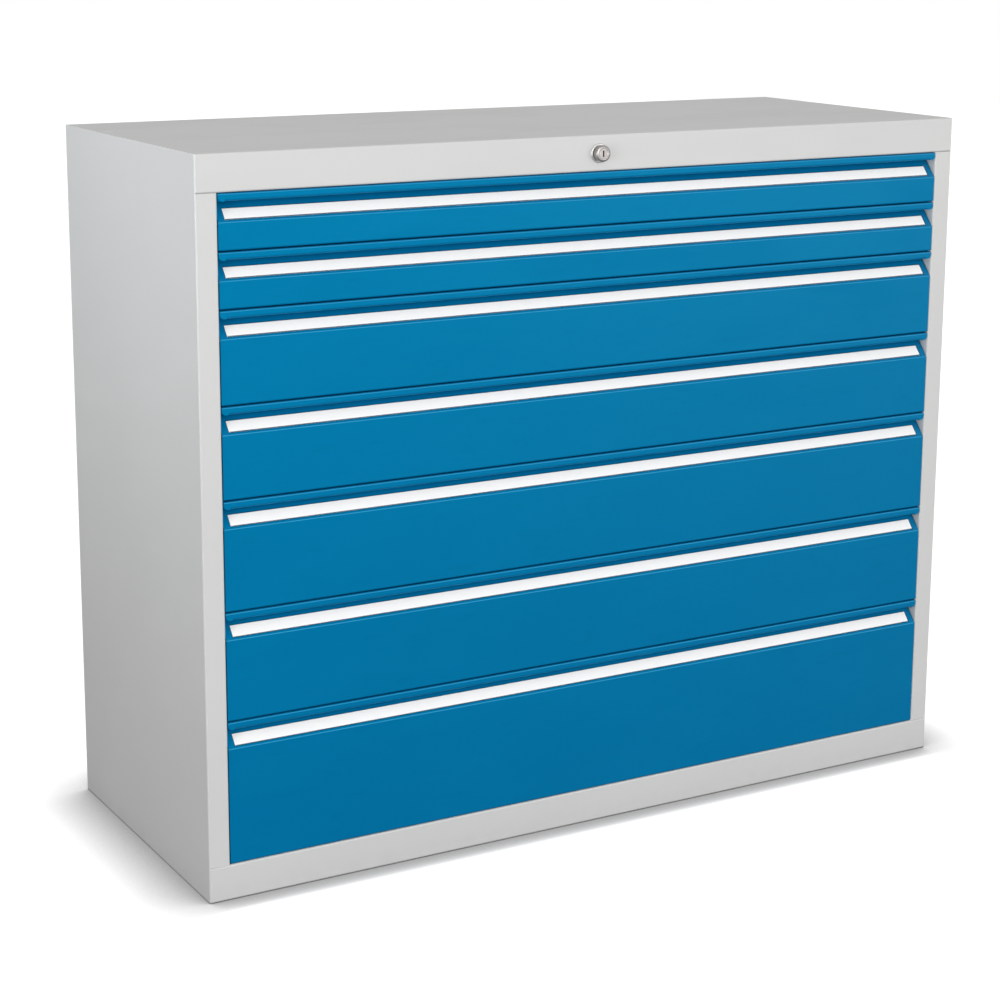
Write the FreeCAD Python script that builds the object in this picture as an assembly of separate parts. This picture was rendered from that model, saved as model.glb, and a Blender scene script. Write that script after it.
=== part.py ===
import FreeCAD, Part
import math
import os

# A steel drawer cabinet: a folded sheet housing, seven full-width drawers on telescopic slides,
# and one central lock that holds every drawer shut.
# Millimetres. +X is to the right, +Z is up, and the drawer fronts face -Y.
# The origin is the middle of the whole object's footprint, on the floor.

Vector = FreeCAD.Vector

# Overall size of the housing
WIDTH = 1225.0
DEPTH = 475.0
HEIGHT = 1000.0

# Housing sheet and its folds
SHEET = 1.5
BEND = 1.0                  # inside radius of a fold
STILE_WIDTH = 30.0          # front face of each upright edge
STILE_RETURN = 30.0         # how far that edge folds back into the housing
SEAM = 0.05                 # open joint between an upright edge and a rail
RAIL_HEIGHT = 50.0          # front face above and below the drawers
RAIL_RETURN = 16.0
BACK_SIDE_FLANGE = 15.0
BACK_END_FLANGE = 20.0

# Drawers, from the top down, in a 25 mm module
FRONT_HEIGHTS = (75.0, 75.0, 125.0, 125.0, 150.0, 150.0, 200.0)
FRONT_GAP = 1.5             # between one front and the next
SIDE_GAP = 1.0              # between a front and the upright edge
TRAVEL = 400.0              # how far a drawer comes out

# Section of a front: a lip to pull, a hollow behind it and a sloping face for the label
FRONT_SHEET = 1.5
GRIP_DEPTH = 20.0           # from the front plane to the back of the hollow
SLOPE_TOP = 13.5            # all three measured down from the drawer's upper limit
SLOPE_FOOT = 38.0
LIP_FOOT = 11.5
HEM_RADIUS = 2.0            # inside radius of the rolled edge under the lip
HEM_RISE = 4.0
LIP_BEND = 0.8
LIP_CORNER = 6.0            # rounding of the lip's lower corners, seen from the front
FLANGE_RELIEF = 3.0         # the side returns stop this far below the slope

# Pressed pocket for the label, on the slope, measured along it from its foot
POCKET_START = 3.2
POCKET_END = 21.6
POCKET_DEPTH = 0.8
POCKET_INSET = 9.5          # from each end of the front
LABEL_GAP = 1.1
PAPER = 0.25
COVER = 2.0                 # the clear strip stands proud of the slope

# Trays
TRAY_SHEET = 1.2
TRAY_HALF_WIDTH = 569.2
TRAY_LENGTH = 412.0
TRAY_LIFT = 6.0             # floor of the tray above the drawer's lower limit
TRAY_DROP = 8.0             # rim of the tray below the drawer's upper limit
RIM_WIDTH = 6.0
RIM_DROP = 6.0

# Telescopic slides: three nested channels, and ball cages in the gaps between them
SLIDE_SHEET = 1.2
SLIDE_START = 24.0          # from the front plane
STOP_LENGTH = 20.0          # length of a slide that its stops take from the travel
SLIDE_FACE = 582.2          # outer face of the fixed channel, from the middle of the cabinet
SLIDE_WIDTH = 13.0
SLIDE_CENTRE = 30.0         # above the floor of the tray
OUTER_HALF = 17.5
MIDDLE_HALF = 12.2
INNER_HALF = 7.6
LIP_TURN = 4.0
OUTER_EDGE = 10.6           # free edge of the fixed channel, from the fixed face
INNER_EDGE = 4.6            # free edge of the inner channel, likewise
INNER_LIP_TURN = 2.6
OUTER_CAGE = (3.2, 8.4)     # width of each ball cage, likewise
INNER_CAGE = (5.4, 10.2)
CAGE_LENGTH = 200.0
CAGE_FIT = 0.05

# Slotted posts that carry the slides
POST_WIDTH = 30.0
POST_FRONT = 31.0
POST_REAR = 405.0
SLOT_WIDTH = 5.0
SLOT_HEIGHT = 14.0
SLOT_PITCH = 100.0

# Lock in the top rail, its rod and the bar behind the drawers
LOCK_X = -16.0
LOCK_Z = HEIGHT - RAIL_HEIGHT / 2
LOCK_PROUD = 12.0
ROSETTE_RADIUS = 13.5
ROSETTE_THICKNESS = 2.0
ROSETTE_EDGE = 0.7
HEAD_RADIUS = 11.4
WAIST_RADIUS = 9.8
WAIST_WIDTH = 2.4
HEAD_CHAMFER = 1.0
SHANK_RADIUS = 9.0
SHANK_LENGTH = 18.0         # behind the front plane
SHANK_PLAY = 0.15
NUT_SIDES = 6
NUT_RADIUS = 13.5
NUT_THICKNESS = 4.0
PLUG_RADIUS = 7.0
PLUG_FIT = 0.05
PLUG_SUNK = 0.5
KEYWAY_WIDTH = 2.2
KEYWAY_HEIGHT = 8.5
KEYWAY_DEPTH = 14.0
TAIL_SIDE = 6.0
TAIL_LENGTH = 10.0
ROD_RADIUS = 4.0
SLEEVE_RADIUS = 6.5
SLEEVE_GAP = 1.0
SLEEVE_LENGTH = 16.0
CRANK_START = 461.0
CRANK_THICKNESS = 4.0
CRANK_WALL = 2.0            # metal around the rod and around the pin
CRANK_PIN_RADIUS = 2.5
CRANK_PIN_LENGTH = 5.5
LOCK_LIFT = 9.0             # how far a quarter turn of the key lifts the bar
BEARING_DEPTH = 440.0
BEARING_WIDTH = 30.0

BAR_WIDTH = 25.0
BAR_THICKNESS = 4.0
BAR_START = 467.0           # from the front plane
BAR_FOOT = 54.0
BAR_SLOT_PLAY = 0.35
BRIDGE_HEIGHT = 20.0
BRIDGE_PLAY = 0.3
BRIDGE_LEVELS = (130.0, 480.0, 850.0)

# Catches: a hook on the back of each tray and a finger on the bar
HOOK_WIDTH = 24.0
HOOK_REACH = 15.5
HOOK_LEVEL = 21.0           # underside of the hook above the floor of the tray
HOOK_DROP = 9.0
FINGER_WIDTH = 16.0
FINGER_THICKNESS = 2.0
FINGER_START = 444.0
CATCH_PLAY = 1.0

# Blanking plug in the top
TOP_PLUG_X = -596.0
TOP_PLUG_DEPTH = 345.0
TOP_PLUG_RADIUS = 6.0
TOP_PLUG_SHANK = 4.5
TOP_PLUG_LENGTH = 7.0

# Worked out from the sizes above
FRONT_Y = -(DEPTH + LOCK_PROUD) / 2 + LOCK_PROUD
HALF = WIDTH / 2
OPENING_HALF = HALF - STILE_WIDTH
FRONT_HALF = OPENING_HALF - SIDE_GAP
BACK_INSIDE = DEPTH - 2 * SHEET
TRAY_START = GRIP_DEPTH + FRONT_SHEET
CRANK_RADIUS = LOCK_LIFT / math.sqrt(2)
BAR_X = LOCK_X - CRANK_RADIUS * (1 + math.sqrt(0.5)) / 2
SLIDE_LENGTH = TRAVEL + STOP_LENGTH
LIP_INSIDE = FRONT_SHEET    # depth of the lip's inner face
OVER = 1.0                  # how far a cutting tool runs past what it cuts
TINY = 1e-6


def y_at(depth):
    """The Y of a point that lies this far behind the front plane."""
    return FRONT_Y + depth


def seen_from_above(u, v):
    """A profile's point, with u to the right and v the depth behind the front plane."""
    return Vector(u, y_at(v), 0)


def seen_from_side(u, v):
    """A profile's point, with u the depth behind the front plane and v the height."""
    return Vector(0, y_at(u), v)


def seen_from_front(u, v):
    """A profile's point, with u to the right and v the height."""
    return Vector(u, FRONT_Y, v)


def rounded_run(points, radii, place):
    """Straight edges through the points, with a tangent arc of its own radius at each inner corner."""
    edges = []
    start = points[0]
    for before, corner, after, radius in zip(points, points[1:], points[2:], radii):
        back = (before - corner).normalize()
        onward = (after - corner).normalize()
        half_angle = back.getAngle(onward) / 2
        bisector = (back + onward).normalize()
        reach = radius / math.tan(half_angle)
        arc_start = corner + back * reach
        arc_middle = corner + bisector * (radius / math.sin(half_angle) - radius)
        arc_end = corner + onward * reach
        if (arc_start - start).Length > TINY:
            edges.append(Part.makeLine(place(start.x, start.y), place(arc_start.x, arc_start.y)))
        if radius > 0:
            arc_points = [place(point.x, point.y) for point in (arc_start, arc_middle, arc_end)]
            edges.append(Part.Arc(*arc_points).toShape())
        start = arc_end
    edges.append(Part.makeLine(place(start.x, start.y), place(points[-1].x, points[-1].y)))
    return edges


def bent_sheet(points, thickness, bends, place):
    """The section of a folded sheet. The points run along one side of it and the thickness lies to
    their right; each inner corner has its own inside bend radius, and a radius of 0 stays sharp."""
    near = [Vector(u, v, 0) for u, v in points]
    headings = [(end - start).normalize() for start, end in zip(near, near[1:])]
    normals = [Vector(heading.y, -heading.x, 0) for heading in headings]
    far = [near[0] + normals[0] * thickness]
    near_radii = []
    far_radii = []
    for corner, first, second, bend in zip(near[1:], normals, normals[1:], bends):
        far.append(corner + (first + second) * (thickness / (1 + first.dot(second))))
        turns_right = first.cross(second).z < 0
        outside = bend + thickness if bend > 0 else 0.0
        near_radii.append(outside if turns_right else bend)
        far_radii.append(bend if turns_right else outside)
    far.append(near[-1] + normals[-1] * thickness)
    edges = rounded_run(near, near_radii, place)
    edges.append(Part.makeLine(place(near[-1].x, near[-1].y), place(far[-1].x, far[-1].y)))
    edges += rounded_run(far[::-1], far_radii[::-1], place)
    edges.append(Part.makeLine(place(far[0].x, far[0].y), place(near[0].x, near[0].y)))
    return Part.Face(Part.Wire(edges))


def block(x_range, depth_range, z_range):
    """A box between two limits along each axis, with the depth counted from the front plane."""
    size = [high - low for low, high in (x_range, depth_range, z_range)]
    return Part.makeBox(*size, Vector(x_range[0], y_at(depth_range[0]), z_range[0]))


def rod_along_y(radius, depth_range, x, z):
    """A round bar along Y between two depths."""
    length = depth_range[1] - depth_range[0]
    return Part.makeCylinder(radius, length, Vector(x, y_at(depth_range[0]), z), Vector(0, 1, 0))


def across(face, half_width):
    """A section seen from the side, drawn out to both sides of the middle."""
    moved = face.translated(Vector(-half_width, 0, 0))
    return moved.extrude(Vector(2 * half_width, 0, 0))


def mirrored(shape):
    """The left-hand twin of a right-hand piece."""
    return shape.mirror(Vector(0, 0, 0), Vector(1, 0, 0))


# --------------------------------------------------------------------------- housing

def side_panel():
    """The right side: one sheet folded into the upright edge at the front and a flange at the back."""
    outline = [
        (HALF - BACK_SIDE_FLANGE, DEPTH),
        (HALF, DEPTH),
        (HALF, 0),
        (OPENING_HALF, 0),
        (OPENING_HALF, STILE_RETURN),
    ]
    section = bent_sheet(outline, SHEET, [0, BEND, BEND], seen_from_above)
    section.translate(Vector(0, 0, SHEET))
    panel = section.extrude(Vector(0, 0, HEIGHT - 2 * SHEET))
    rail = RAIL_HEIGHT + SEAM
    for height in ((0, rail), (HEIGHT - rail, HEIGHT)):
        edge_x = (OPENING_HALF - OVER, HALF - SHEET)
        panel = panel.cut(block(edge_x, (-OVER, STILE_RETURN + OVER), height))
        corner_x = (OPENING_HALF - OVER, HALF + OVER)
        panel = panel.cut(block(corner_x, (-OVER, SHEET), height))
    return panel


def rounded_footprint():
    """The whole housing as a solid block whose front upright edges are rounded like the fold."""
    outline = ((0, DEPTH), (HALF, DEPTH), (HALF, 0), (-HALF, 0), (-HALF, DEPTH))
    corners = [Vector(u, v, 0) for u, v in outline]
    edges = rounded_run(corners + corners[:1], [0, BEND + SHEET, BEND + SHEET, 0], seen_from_above)
    return Part.Face(Part.Wire(edges)).extrude(Vector(0, 0, HEIGHT))


def end_cover():
    """The bottom of the housing: floor sheet, front rail, the rail's return and the back flange."""
    outline = [
        (DEPTH, BACK_END_FLANGE),
        (DEPTH, 0),
        (0, 0),
        (0, RAIL_HEIGHT),
        (RAIL_RETURN, RAIL_HEIGHT),
    ]
    section = bent_sheet(outline, SHEET, [0, BEND, BEND], seen_from_side)
    cover = across(section, HALF)
    above_floor = (SHEET, HEIGHT)
    for depth, reach in (((SHEET, DEPTH + OVER), SHEET), ((BACK_INSIDE, DEPTH + OVER), BACK_SIDE_FLANGE)):
        for width in ((-HALF - OVER, reach - HALF), (HALF - reach, HALF + OVER)):
            cover = cover.cut(block(width, depth, above_floor))
    return cover.common(rounded_footprint())


def top_cover():
    """The top: the bottom's twin, with holes for the lock and the plug and a bearing for the rod."""
    cover = end_cover().mirror(Vector(0, 0, HEIGHT / 2), Vector(0, 0, 1))
    bearing_x = (LOCK_X - BEARING_WIDTH / 2, LOCK_X + BEARING_WIDTH / 2)
    bearing_z = (LOCK_Z - BEARING_WIDTH / 2, HEIGHT - SHEET)
    cover = cover.fuse(block(bearing_x, (BEARING_DEPTH, BEARING_DEPTH + SHEET), bearing_z))
    cover = cover.cut(rod_along_y(SHANK_RADIUS + SHANK_PLAY, (-OVER, SHEET + OVER), LOCK_X, LOCK_Z))
    bearing_hole = (BEARING_DEPTH - OVER, BEARING_DEPTH + SHEET + OVER)
    cover = cover.cut(rod_along_y(ROD_RADIUS + PLUG_FIT, bearing_hole, LOCK_X, LOCK_Z))
    return cover.cut(top_plug())


def top_plug():
    """A plastic blanking plug, flush with the top."""
    place = Vector(TOP_PLUG_X, y_at(TOP_PLUG_DEPTH), HEIGHT)
    head = Part.makeCylinder(TOP_PLUG_RADIUS, SHEET / 2, place - Vector(0, 0, SHEET / 2))
    shank = Part.makeCylinder(TOP_PLUG_SHANK, TOP_PLUG_LENGTH, place - Vector(0, 0, TOP_PLUG_LENGTH))
    return head.fuse(shank).removeSplitter()


def back_panel():
    """A flat sheet against the flanges, with three bridges that guide the locking bar."""
    back = (BACK_INSIDE, BACK_INSIDE + SHEET)
    panel = block((SHEET - HALF, HALF - SHEET), back, (SHEET, HEIGHT - SHEET))
    inner_half = BAR_WIDTH / 2 + BRIDGE_PLAY
    outer_half = inner_half + SHEET
    inner_depth = BAR_START - BRIDGE_PLAY
    for level in BRIDGE_LEVELS:
        height = (level - BRIDGE_HEIGHT / 2, level + BRIDGE_HEIGHT / 2)
        strap_x = (BAR_X - outer_half, BAR_X + outer_half)
        strap = block(strap_x, (inner_depth - SHEET, BACK_INSIDE), height)
        tunnel_x = (BAR_X - inner_half, BAR_X + inner_half)
        panel = panel.fuse(strap.cut(block(tunnel_x, (inner_depth, BACK_INSIDE), height)))
    return panel.removeSplitter()


def slotted_post(start):
    """One of the four posts: a channel against the side panel, with a column of slots."""
    outline = [
        (HALF - SHEET, start),
        (SLIDE_FACE, start),
        (SLIDE_FACE, start + POST_WIDTH),
        (HALF - SHEET, start + POST_WIDTH),
    ]
    section = bent_sheet(outline, SHEET, [BEND] * 2, seen_from_above)
    section.translate(Vector(0, 0, SHEET))
    post = section.extrude(Vector(0, 0, HEIGHT - 2 * SHEET))
    middle = start + POST_WIDTH / 2
    count = int((HEIGHT - 2 * RAIL_HEIGHT) / SLOT_PITCH)
    slots = []
    for index in range(count):
        level = RAIL_HEIGHT + SLOT_PITCH * (index + 0.5)
        slot_depth = (middle - SLOT_WIDTH / 2, middle + SLOT_WIDTH / 2)
        slot_z = (level - SLOT_HEIGHT / 2, level + SLOT_HEIGHT / 2)
        slots.append(block((SLIDE_FACE - OVER, SLIDE_FACE + SHEET + OVER), slot_depth, slot_z))
    return post.cut(Part.makeCompound(slots))


# --------------------------------------------------------------------------- drawer fronts

def slope_point(top, along, sunk):
    """A point on the sloping face, by its distance from the slope's foot and its depth below the face."""
    length = math.hypot(GRIP_DEPTH, SLOPE_FOOT - SLOPE_TOP)
    back = GRIP_DEPTH / length
    up = (SLOPE_FOOT - SLOPE_TOP) / length
    return (along * back + sunk * up, top - SLOPE_FOOT + along * up - sunk * back)


def front_section(top, bottom, at_end):
    """The front's sheet in section, from its lower return up to the lip. Between the two ends it
    also has the label pocket, and the rolled edge under the lip."""
    lip_foot = top - LIP_FOOT
    upper_fold = top - FRONT_GAP / 2 - FRONT_SHEET
    outline = [(TRAY_START, bottom), (0, bottom), (0, top - SLOPE_FOOT)]
    bends = [BEND, BEND]
    if not at_end:
        outline.append(slope_point(top, POCKET_START, 0))
        outline.append(slope_point(top, POCKET_START, POCKET_DEPTH))
        outline.append(slope_point(top, POCKET_END, POCKET_DEPTH))
        outline.append(slope_point(top, POCKET_END, 0))
        bends += [0, 0, 0, 0]
    outline += [(GRIP_DEPTH, top - SLOPE_TOP), (GRIP_DEPTH, upper_fold), (LIP_INSIDE, upper_fold)]
    bends += [0, 0, LIP_BEND]
    if at_end:
        outline.append((LIP_INSIDE, lip_foot))
    else:
        hem_back = LIP_INSIDE + 2 * HEM_RADIUS
        hem_foot = lip_foot + FRONT_SHEET
        outline += [(LIP_INSIDE, hem_foot), (hem_back, hem_foot), (hem_back, hem_foot + HEM_RISE)]
        bends += [HEM_RADIUS, HEM_RADIUS]
    return bent_sheet(outline, FRONT_SHEET, bends, seen_from_side)


def lip_corner_cutter(top):
    """What is taken off the lip's lower right corner: a square less a quarter disc."""
    centre_x = FRONT_HALF - LIP_CORNER
    lip_foot = top - LIP_FOOT
    centre_z = lip_foot + LIP_CORNER
    waste = block((centre_x, FRONT_HALF + OVER), (-OVER, LIP_INSIDE + OVER), (lip_foot - OVER, centre_z))
    return waste.cut(rod_along_y(LIP_CORNER, (-2 * OVER, LIP_INSIDE + 2 * OVER), centre_x, centre_z))


def drawer_front(top, height):
    """One sheet: panel, sloping label face, finger hollow, lip and rolled edge, with side returns."""
    bottom = top - height + FRONT_GAP / 2
    middle_half = FRONT_HALF - POCKET_INSET
    front = across(front_section(top, bottom, at_end=False), middle_half)
    end_section = front_section(top, bottom, at_end=True)
    for start in (-FRONT_HALF, middle_half):
        end_piece = end_section.translated(Vector(start, 0, 0)).extrude(Vector(POCKET_INSET, 0, 0))
        front = front.fuse(end_piece)
    return_z = (bottom + BEND + FRONT_SHEET, top - SLOPE_FOOT - FLANGE_RELIEF)
    for low in (-FRONT_HALF, FRONT_HALF - FRONT_SHEET):
        front = front.fuse(block((low, low + FRONT_SHEET), (FRONT_SHEET / 2, TRAY_START), return_z))
    cutter = lip_corner_cutter(top)
    return front.cut(cutter).cut(mirrored(cutter)).removeSplitter()


def strip_on_slope(top, inset, edge_gap, near_face, thickness):
    """A thin strip lying in the label pocket."""
    corners = [
        slope_point(top, POCKET_START + edge_gap, near_face),
        slope_point(top, POCKET_END - edge_gap / 2, near_face),
        slope_point(top, POCKET_END - edge_gap / 2, near_face + thickness),
        slope_point(top, POCKET_START + edge_gap, near_face + thickness),
    ]
    outline = [seen_from_side(u, v) for u, v in corners]
    return across(Part.Face(Part.makePolygon(outline + outline[:1])), FRONT_HALF - inset)


# --------------------------------------------------------------------------- trays

def tray(top, height):
    """A folded box with an outward rim on both sides and a hook at the back for the locking bar."""
    floor = top - height + TRAY_LIFT
    fold = top - TRAY_DROP - TRAY_SHEET
    rim = TRAY_HALF_WIDTH + RIM_WIDTH - TRAY_SHEET
    right_half = [(rim, fold - RIM_DROP), (rim, fold), (TRAY_HALF_WIDTH, fold), (TRAY_HALF_WIDTH, floor)]
    outline = right_half + [(-x, z) for x, z in right_half[::-1]]
    section = bent_sheet(outline, TRAY_SHEET, [0, 0, BEND, BEND, 0, 0], seen_from_front)
    section.translate(Vector(0, TRAY_START, 0))
    box = section.extrude(Vector(0, TRAY_LENGTH, 0))
    wall_x = (-TRAY_HALF_WIDTH, TRAY_HALF_WIDTH)
    wall_z = (floor, fold + TRAY_SHEET)
    for start in (TRAY_START, TRAY_START + TRAY_LENGTH - TRAY_SHEET):
        box = box.fuse(block(wall_x, (start, start + TRAY_SHEET), wall_z))
    return box.fuse(hook(floor)).removeSplitter()


def hook(floor):
    """A tab that stands out behind a tray and turns down."""
    back = TRAY_START + TRAY_LENGTH
    level = floor + HOOK_LEVEL
    outline = [
        (back + HOOK_REACH - TRAY_SHEET, level - HOOK_DROP),
        (back + HOOK_REACH - TRAY_SHEET, level),
        (back - TRAY_SHEET / 2, level),
    ]
    section = bent_sheet(outline, TRAY_SHEET, [0], seen_from_side)
    return across(section, HOOK_WIDTH / 2).translated(Vector(BAR_X, 0, 0))


# --------------------------------------------------------------------------- slides

def channel(web, edge, half, turn, level, start, length):
    """A C-shaped rail along Y: a web at one distance from the fixed face, flanges that reach to the
    edge, and lips that turn in by the given amount."""
    outline = [
        (edge, half - turn),
        (edge, half),
        (web, half),
        (web, -half),
        (edge, -half),
        (edge, turn - half),
    ]
    points = [(SLIDE_FACE - u, level + v) for u, v in outline]
    if edge < web:
        points = points[::-1]
    section = bent_sheet(points, SLIDE_SHEET, [0] * 4, seen_from_front)
    section.translate(Vector(0, start, 0))
    return section.extrude(Vector(0, length, 0))


def outer_channel(level):
    """The fixed channel, open towards the drawer."""
    return channel(0, OUTER_EDGE, OUTER_HALF, LIP_TURN, level, SLIDE_START, SLIDE_LENGTH)


def middle_channel(level):
    """The channel that travels half as far as the drawer."""
    web = 2 * SLIDE_SHEET
    return channel(web, SLIDE_WIDTH - SLIDE_SHEET, MIDDLE_HALF, LIP_TURN, level, SLIDE_START, SLIDE_LENGTH)


def inner_channel(level):
    """The channel on the tray, open towards the housing."""
    return channel(SLIDE_WIDTH, INNER_EDGE, INNER_HALF, INNER_LIP_TURN, level, TRAY_START, TRAY_LENGTH)


def ball_cages(level):
    """Strips that fill the running gaps above and below: two outside the middle channel, two inside."""
    rows = (
        (OUTER_HALF - SLIDE_SHEET, MIDDLE_HALF, OUTER_CAGE, SLIDE_START + SLIDE_LENGTH - CAGE_LENGTH),
        (MIDDLE_HALF - SLIDE_SHEET, INNER_HALF, INNER_CAGE, SLIDE_START),
    )
    cages = []
    for high, low, reach, start in rows:
        x_range = (SLIDE_FACE - reach[1], SLIDE_FACE - reach[0])
        depth_range = (start, start + CAGE_LENGTH)
        cages.append(block(x_range, depth_range, (level + low + CAGE_FIT, level + high - CAGE_FIT)))
        cages.append(block(x_range, depth_range, (level - high + CAGE_FIT, level - low - CAGE_FIT)))
    return cages


def pair(shapes):
    """Right-hand pieces together with their left-hand twins."""
    return Part.makeCompound(shapes + [mirrored(shape) for shape in shapes])


# --------------------------------------------------------------------------- lock

def turned(outline):
    """A ring or disc turned about the lock's axis, from (radius, depth) points."""
    points = [Vector(LOCK_X + radius, y_at(depth), LOCK_Z) for radius, depth in outline]
    face = Part.Face(Part.makePolygon(points + points[:1]))
    return face.revolve(Vector(LOCK_X, 0, LOCK_Z), Vector(0, 1, 0), 360)


def lock_rosette():
    """The bevelled washer under the lock's head."""
    bevel = ROSETTE_RADIUS - ROSETTE_THICKNESS
    return turned([
        (SHANK_RADIUS, 0),
        (ROSETTE_RADIUS, 0),
        (ROSETTE_RADIUS, -ROSETTE_EDGE),
        (bevel, -ROSETTE_THICKNESS),
        (SHANK_RADIUS, -ROSETTE_THICKNESS),
    ])


def lock_housing():
    """The turned barrel: head, waist and the shank that passes through the rail."""
    waist_end = -ROSETTE_THICKNESS - WAIST_WIDTH
    bore = PLUG_RADIUS + PLUG_FIT
    return turned([
        (bore, -LOCK_PROUD),
        (HEAD_RADIUS - HEAD_CHAMFER, -LOCK_PROUD),
        (HEAD_RADIUS, HEAD_CHAMFER - LOCK_PROUD),
        (HEAD_RADIUS, waist_end - HEAD_CHAMFER),
        (WAIST_RADIUS, waist_end),
        (WAIST_RADIUS, -ROSETTE_THICKNESS),
        (SHANK_RADIUS, -ROSETTE_THICKNESS),
        (SHANK_RADIUS, SHANK_LENGTH),
        (bore, SHANK_LENGTH),
    ])


def lock_nut():
    """The hexagon nut behind the rail."""
    corners = []
    for index in range(NUT_SIDES + 1):
        angle = 2 * math.pi * index / NUT_SIDES
        x = LOCK_X + NUT_RADIUS * math.cos(angle)
        z = LOCK_Z + NUT_RADIUS * math.sin(angle)
        corners.append(Vector(x, y_at(SHEET), z))
    prism = Part.Face(Part.makePolygon(corners)).extrude(Vector(0, NUT_THICKNESS, 0))
    thread_depth = (0, SHEET + NUT_THICKNESS + OVER)
    return prism.cut(rod_along_y(SHANK_RADIUS + SHANK_PLAY, thread_depth, LOCK_X, LOCK_Z))


def around_lock(side, depth_range, height=None):
    """A square or flat bar on the lock's axis."""
    half_height = (height or side) / 2
    width = (LOCK_X - side / 2, LOCK_X + side / 2)
    return block(width, depth_range, (LOCK_Z - half_height, LOCK_Z + half_height))


def lock_plug():
    """The part that the key turns, with its keyway and a square tail."""
    face = PLUG_SUNK - LOCK_PROUD
    barrel = rod_along_y(PLUG_RADIUS, (face, SHANK_LENGTH), LOCK_X, LOCK_Z)
    tail = around_lock(TAIL_SIDE, (SHANK_LENGTH, SHANK_LENGTH + TAIL_LENGTH))
    keyway = around_lock(KEYWAY_WIDTH, (face - OVER, face + KEYWAY_DEPTH), KEYWAY_HEIGHT)
    return barrel.fuse(tail).cut(keyway)


def lock_rod():
    """The rod from the plug to the back: a sleeve on the plug's tail, and a crank with its pin."""
    sleeve_start = SHANK_LENGTH + SLEEVE_GAP
    sleeve = rod_along_y(SLEEVE_RADIUS, (sleeve_start, sleeve_start + SLEEVE_LENGTH), LOCK_X, LOCK_Z)
    sleeve = sleeve.cut(around_lock(TAIL_SIDE, (SHANK_LENGTH, SHANK_LENGTH + TAIL_LENGTH)))
    rod = rod_along_y(ROD_RADIUS, (sleeve_start + SLEEVE_LENGTH, CRANK_START), LOCK_X, LOCK_Z)
    crank_end = CRANK_START + CRANK_THICKNESS
    crank_depth = (CRANK_START, crank_end)
    pin_x = LOCK_X - CRANK_RADIUS * math.sqrt(0.5)
    pin_z = LOCK_Z - CRANK_RADIUS * math.sqrt(0.5)
    hub = rod_along_y(ROD_RADIUS + CRANK_WALL, crank_depth, LOCK_X, LOCK_Z)
    eye = rod_along_y(CRANK_PIN_RADIUS + CRANK_WALL, crank_depth, pin_x, pin_z)
    pin = rod_along_y(CRANK_PIN_RADIUS, (crank_end, crank_end + CRANK_PIN_LENGTH), pin_x, pin_z)
    return sleeve.fuse([rod, hub, eye, pin]).removeSplitter()


def locking_bar(floors):
    """The upright bar: a slot for the crank's pin, and a finger below each tray's hook."""
    slot_level = LOCK_Z - LOCK_LIFT / 2
    slot_half_height = CRANK_PIN_RADIUS + BAR_SLOT_PLAY
    slot_half_width = slot_half_height + CRANK_RADIUS * (1 - math.sqrt(0.5)) / 2
    bar_depth = (BAR_START, BAR_START + BAR_THICKNESS)
    bar_x = (BAR_X - BAR_WIDTH / 2, BAR_X + BAR_WIDTH / 2)
    bar = block(bar_x, bar_depth, (BAR_FOOT, slot_level + BAR_WIDTH / 2))
    slot_x = (BAR_X - slot_half_width, BAR_X + slot_half_width)
    slot_z = (slot_level - slot_half_height, slot_level + slot_half_height)
    bar = bar.cut(block(slot_x, (BAR_START - OVER, BAR_START + BAR_THICKNESS + OVER), slot_z))
    for floor in floors:
        tip = floor + HOOK_LEVEL - HOOK_DROP - CATCH_PLAY
        shelf = tip - LOCK_LIFT - FINGER_THICKNESS
        outline = [(BAR_START, shelf), (FINGER_START, shelf), (FINGER_START, tip)]
        section = bent_sheet(outline, FINGER_THICKNESS, [0], seen_from_side)
        bar = bar.fuse(across(section, FINGER_WIDTH / 2).translated(Vector(BAR_X, 0, 0)))
    return bar.removeSplitter()


# --------------------------------------------------------------------------- the whole cabinet

def build():
    """Every piece by its name."""
    pieces = {
        "side_right": side_panel(),
        "side_left": mirrored(side_panel()),
        "back_panel": back_panel(),
        "base_cover": end_cover(),
        "top_cover": top_cover(),
        "top_plug": top_plug(),
        "lock_rosette": lock_rosette(),
        "lock_housing": lock_housing(),
        "lock_nut": lock_nut(),
        "lock_plug": lock_plug(),
        "lock_rod": lock_rod(),
    }
    for place, start in (("front", POST_FRONT), ("rear", POST_REAR)):
        post = slotted_post(start)
        pieces[f"post_{place}_right"] = post
        pieces[f"post_{place}_left"] = mirrored(post)
    floors = []
    rails = []
    top = HEIGHT - RAIL_HEIGHT
    for number, height in enumerate(FRONT_HEIGHTS, start=1):
        name = f"drawer_{number}"
        floor = top - height + TRAY_LIFT
        level = floor + SLIDE_CENTRE
        pieces[f"{name}_front"] = drawer_front(top, height)
        pieces[f"{name}_tray"] = tray(top, height)
        label_inset = POCKET_INSET + LABEL_GAP
        cover_face = POCKET_DEPTH - PAPER - COVER
        pieces[f"{name}_label"] = strip_on_slope(top, label_inset, LABEL_GAP, cover_face + COVER, PAPER)
        pieces[f"{name}_label_cover"] = strip_on_slope(top, label_inset, LABEL_GAP, cover_face, COVER)
        pieces[f"{name}_slide_inner"] = pair([inner_channel(level)])
        pieces[f"{name}_slide_middle"] = pair([middle_channel(level)] + ball_cages(level))
        rails.append(outer_channel(level))
        floors.append(floor)
        top -= height
    pieces["slides_fixed_right"] = Part.makeCompound(rails)
    pieces["slides_fixed_left"] = mirrored(Part.makeCompound(rails))
    pieces["locking_bar"] = locking_bar(floors)
    return pieces


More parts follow.
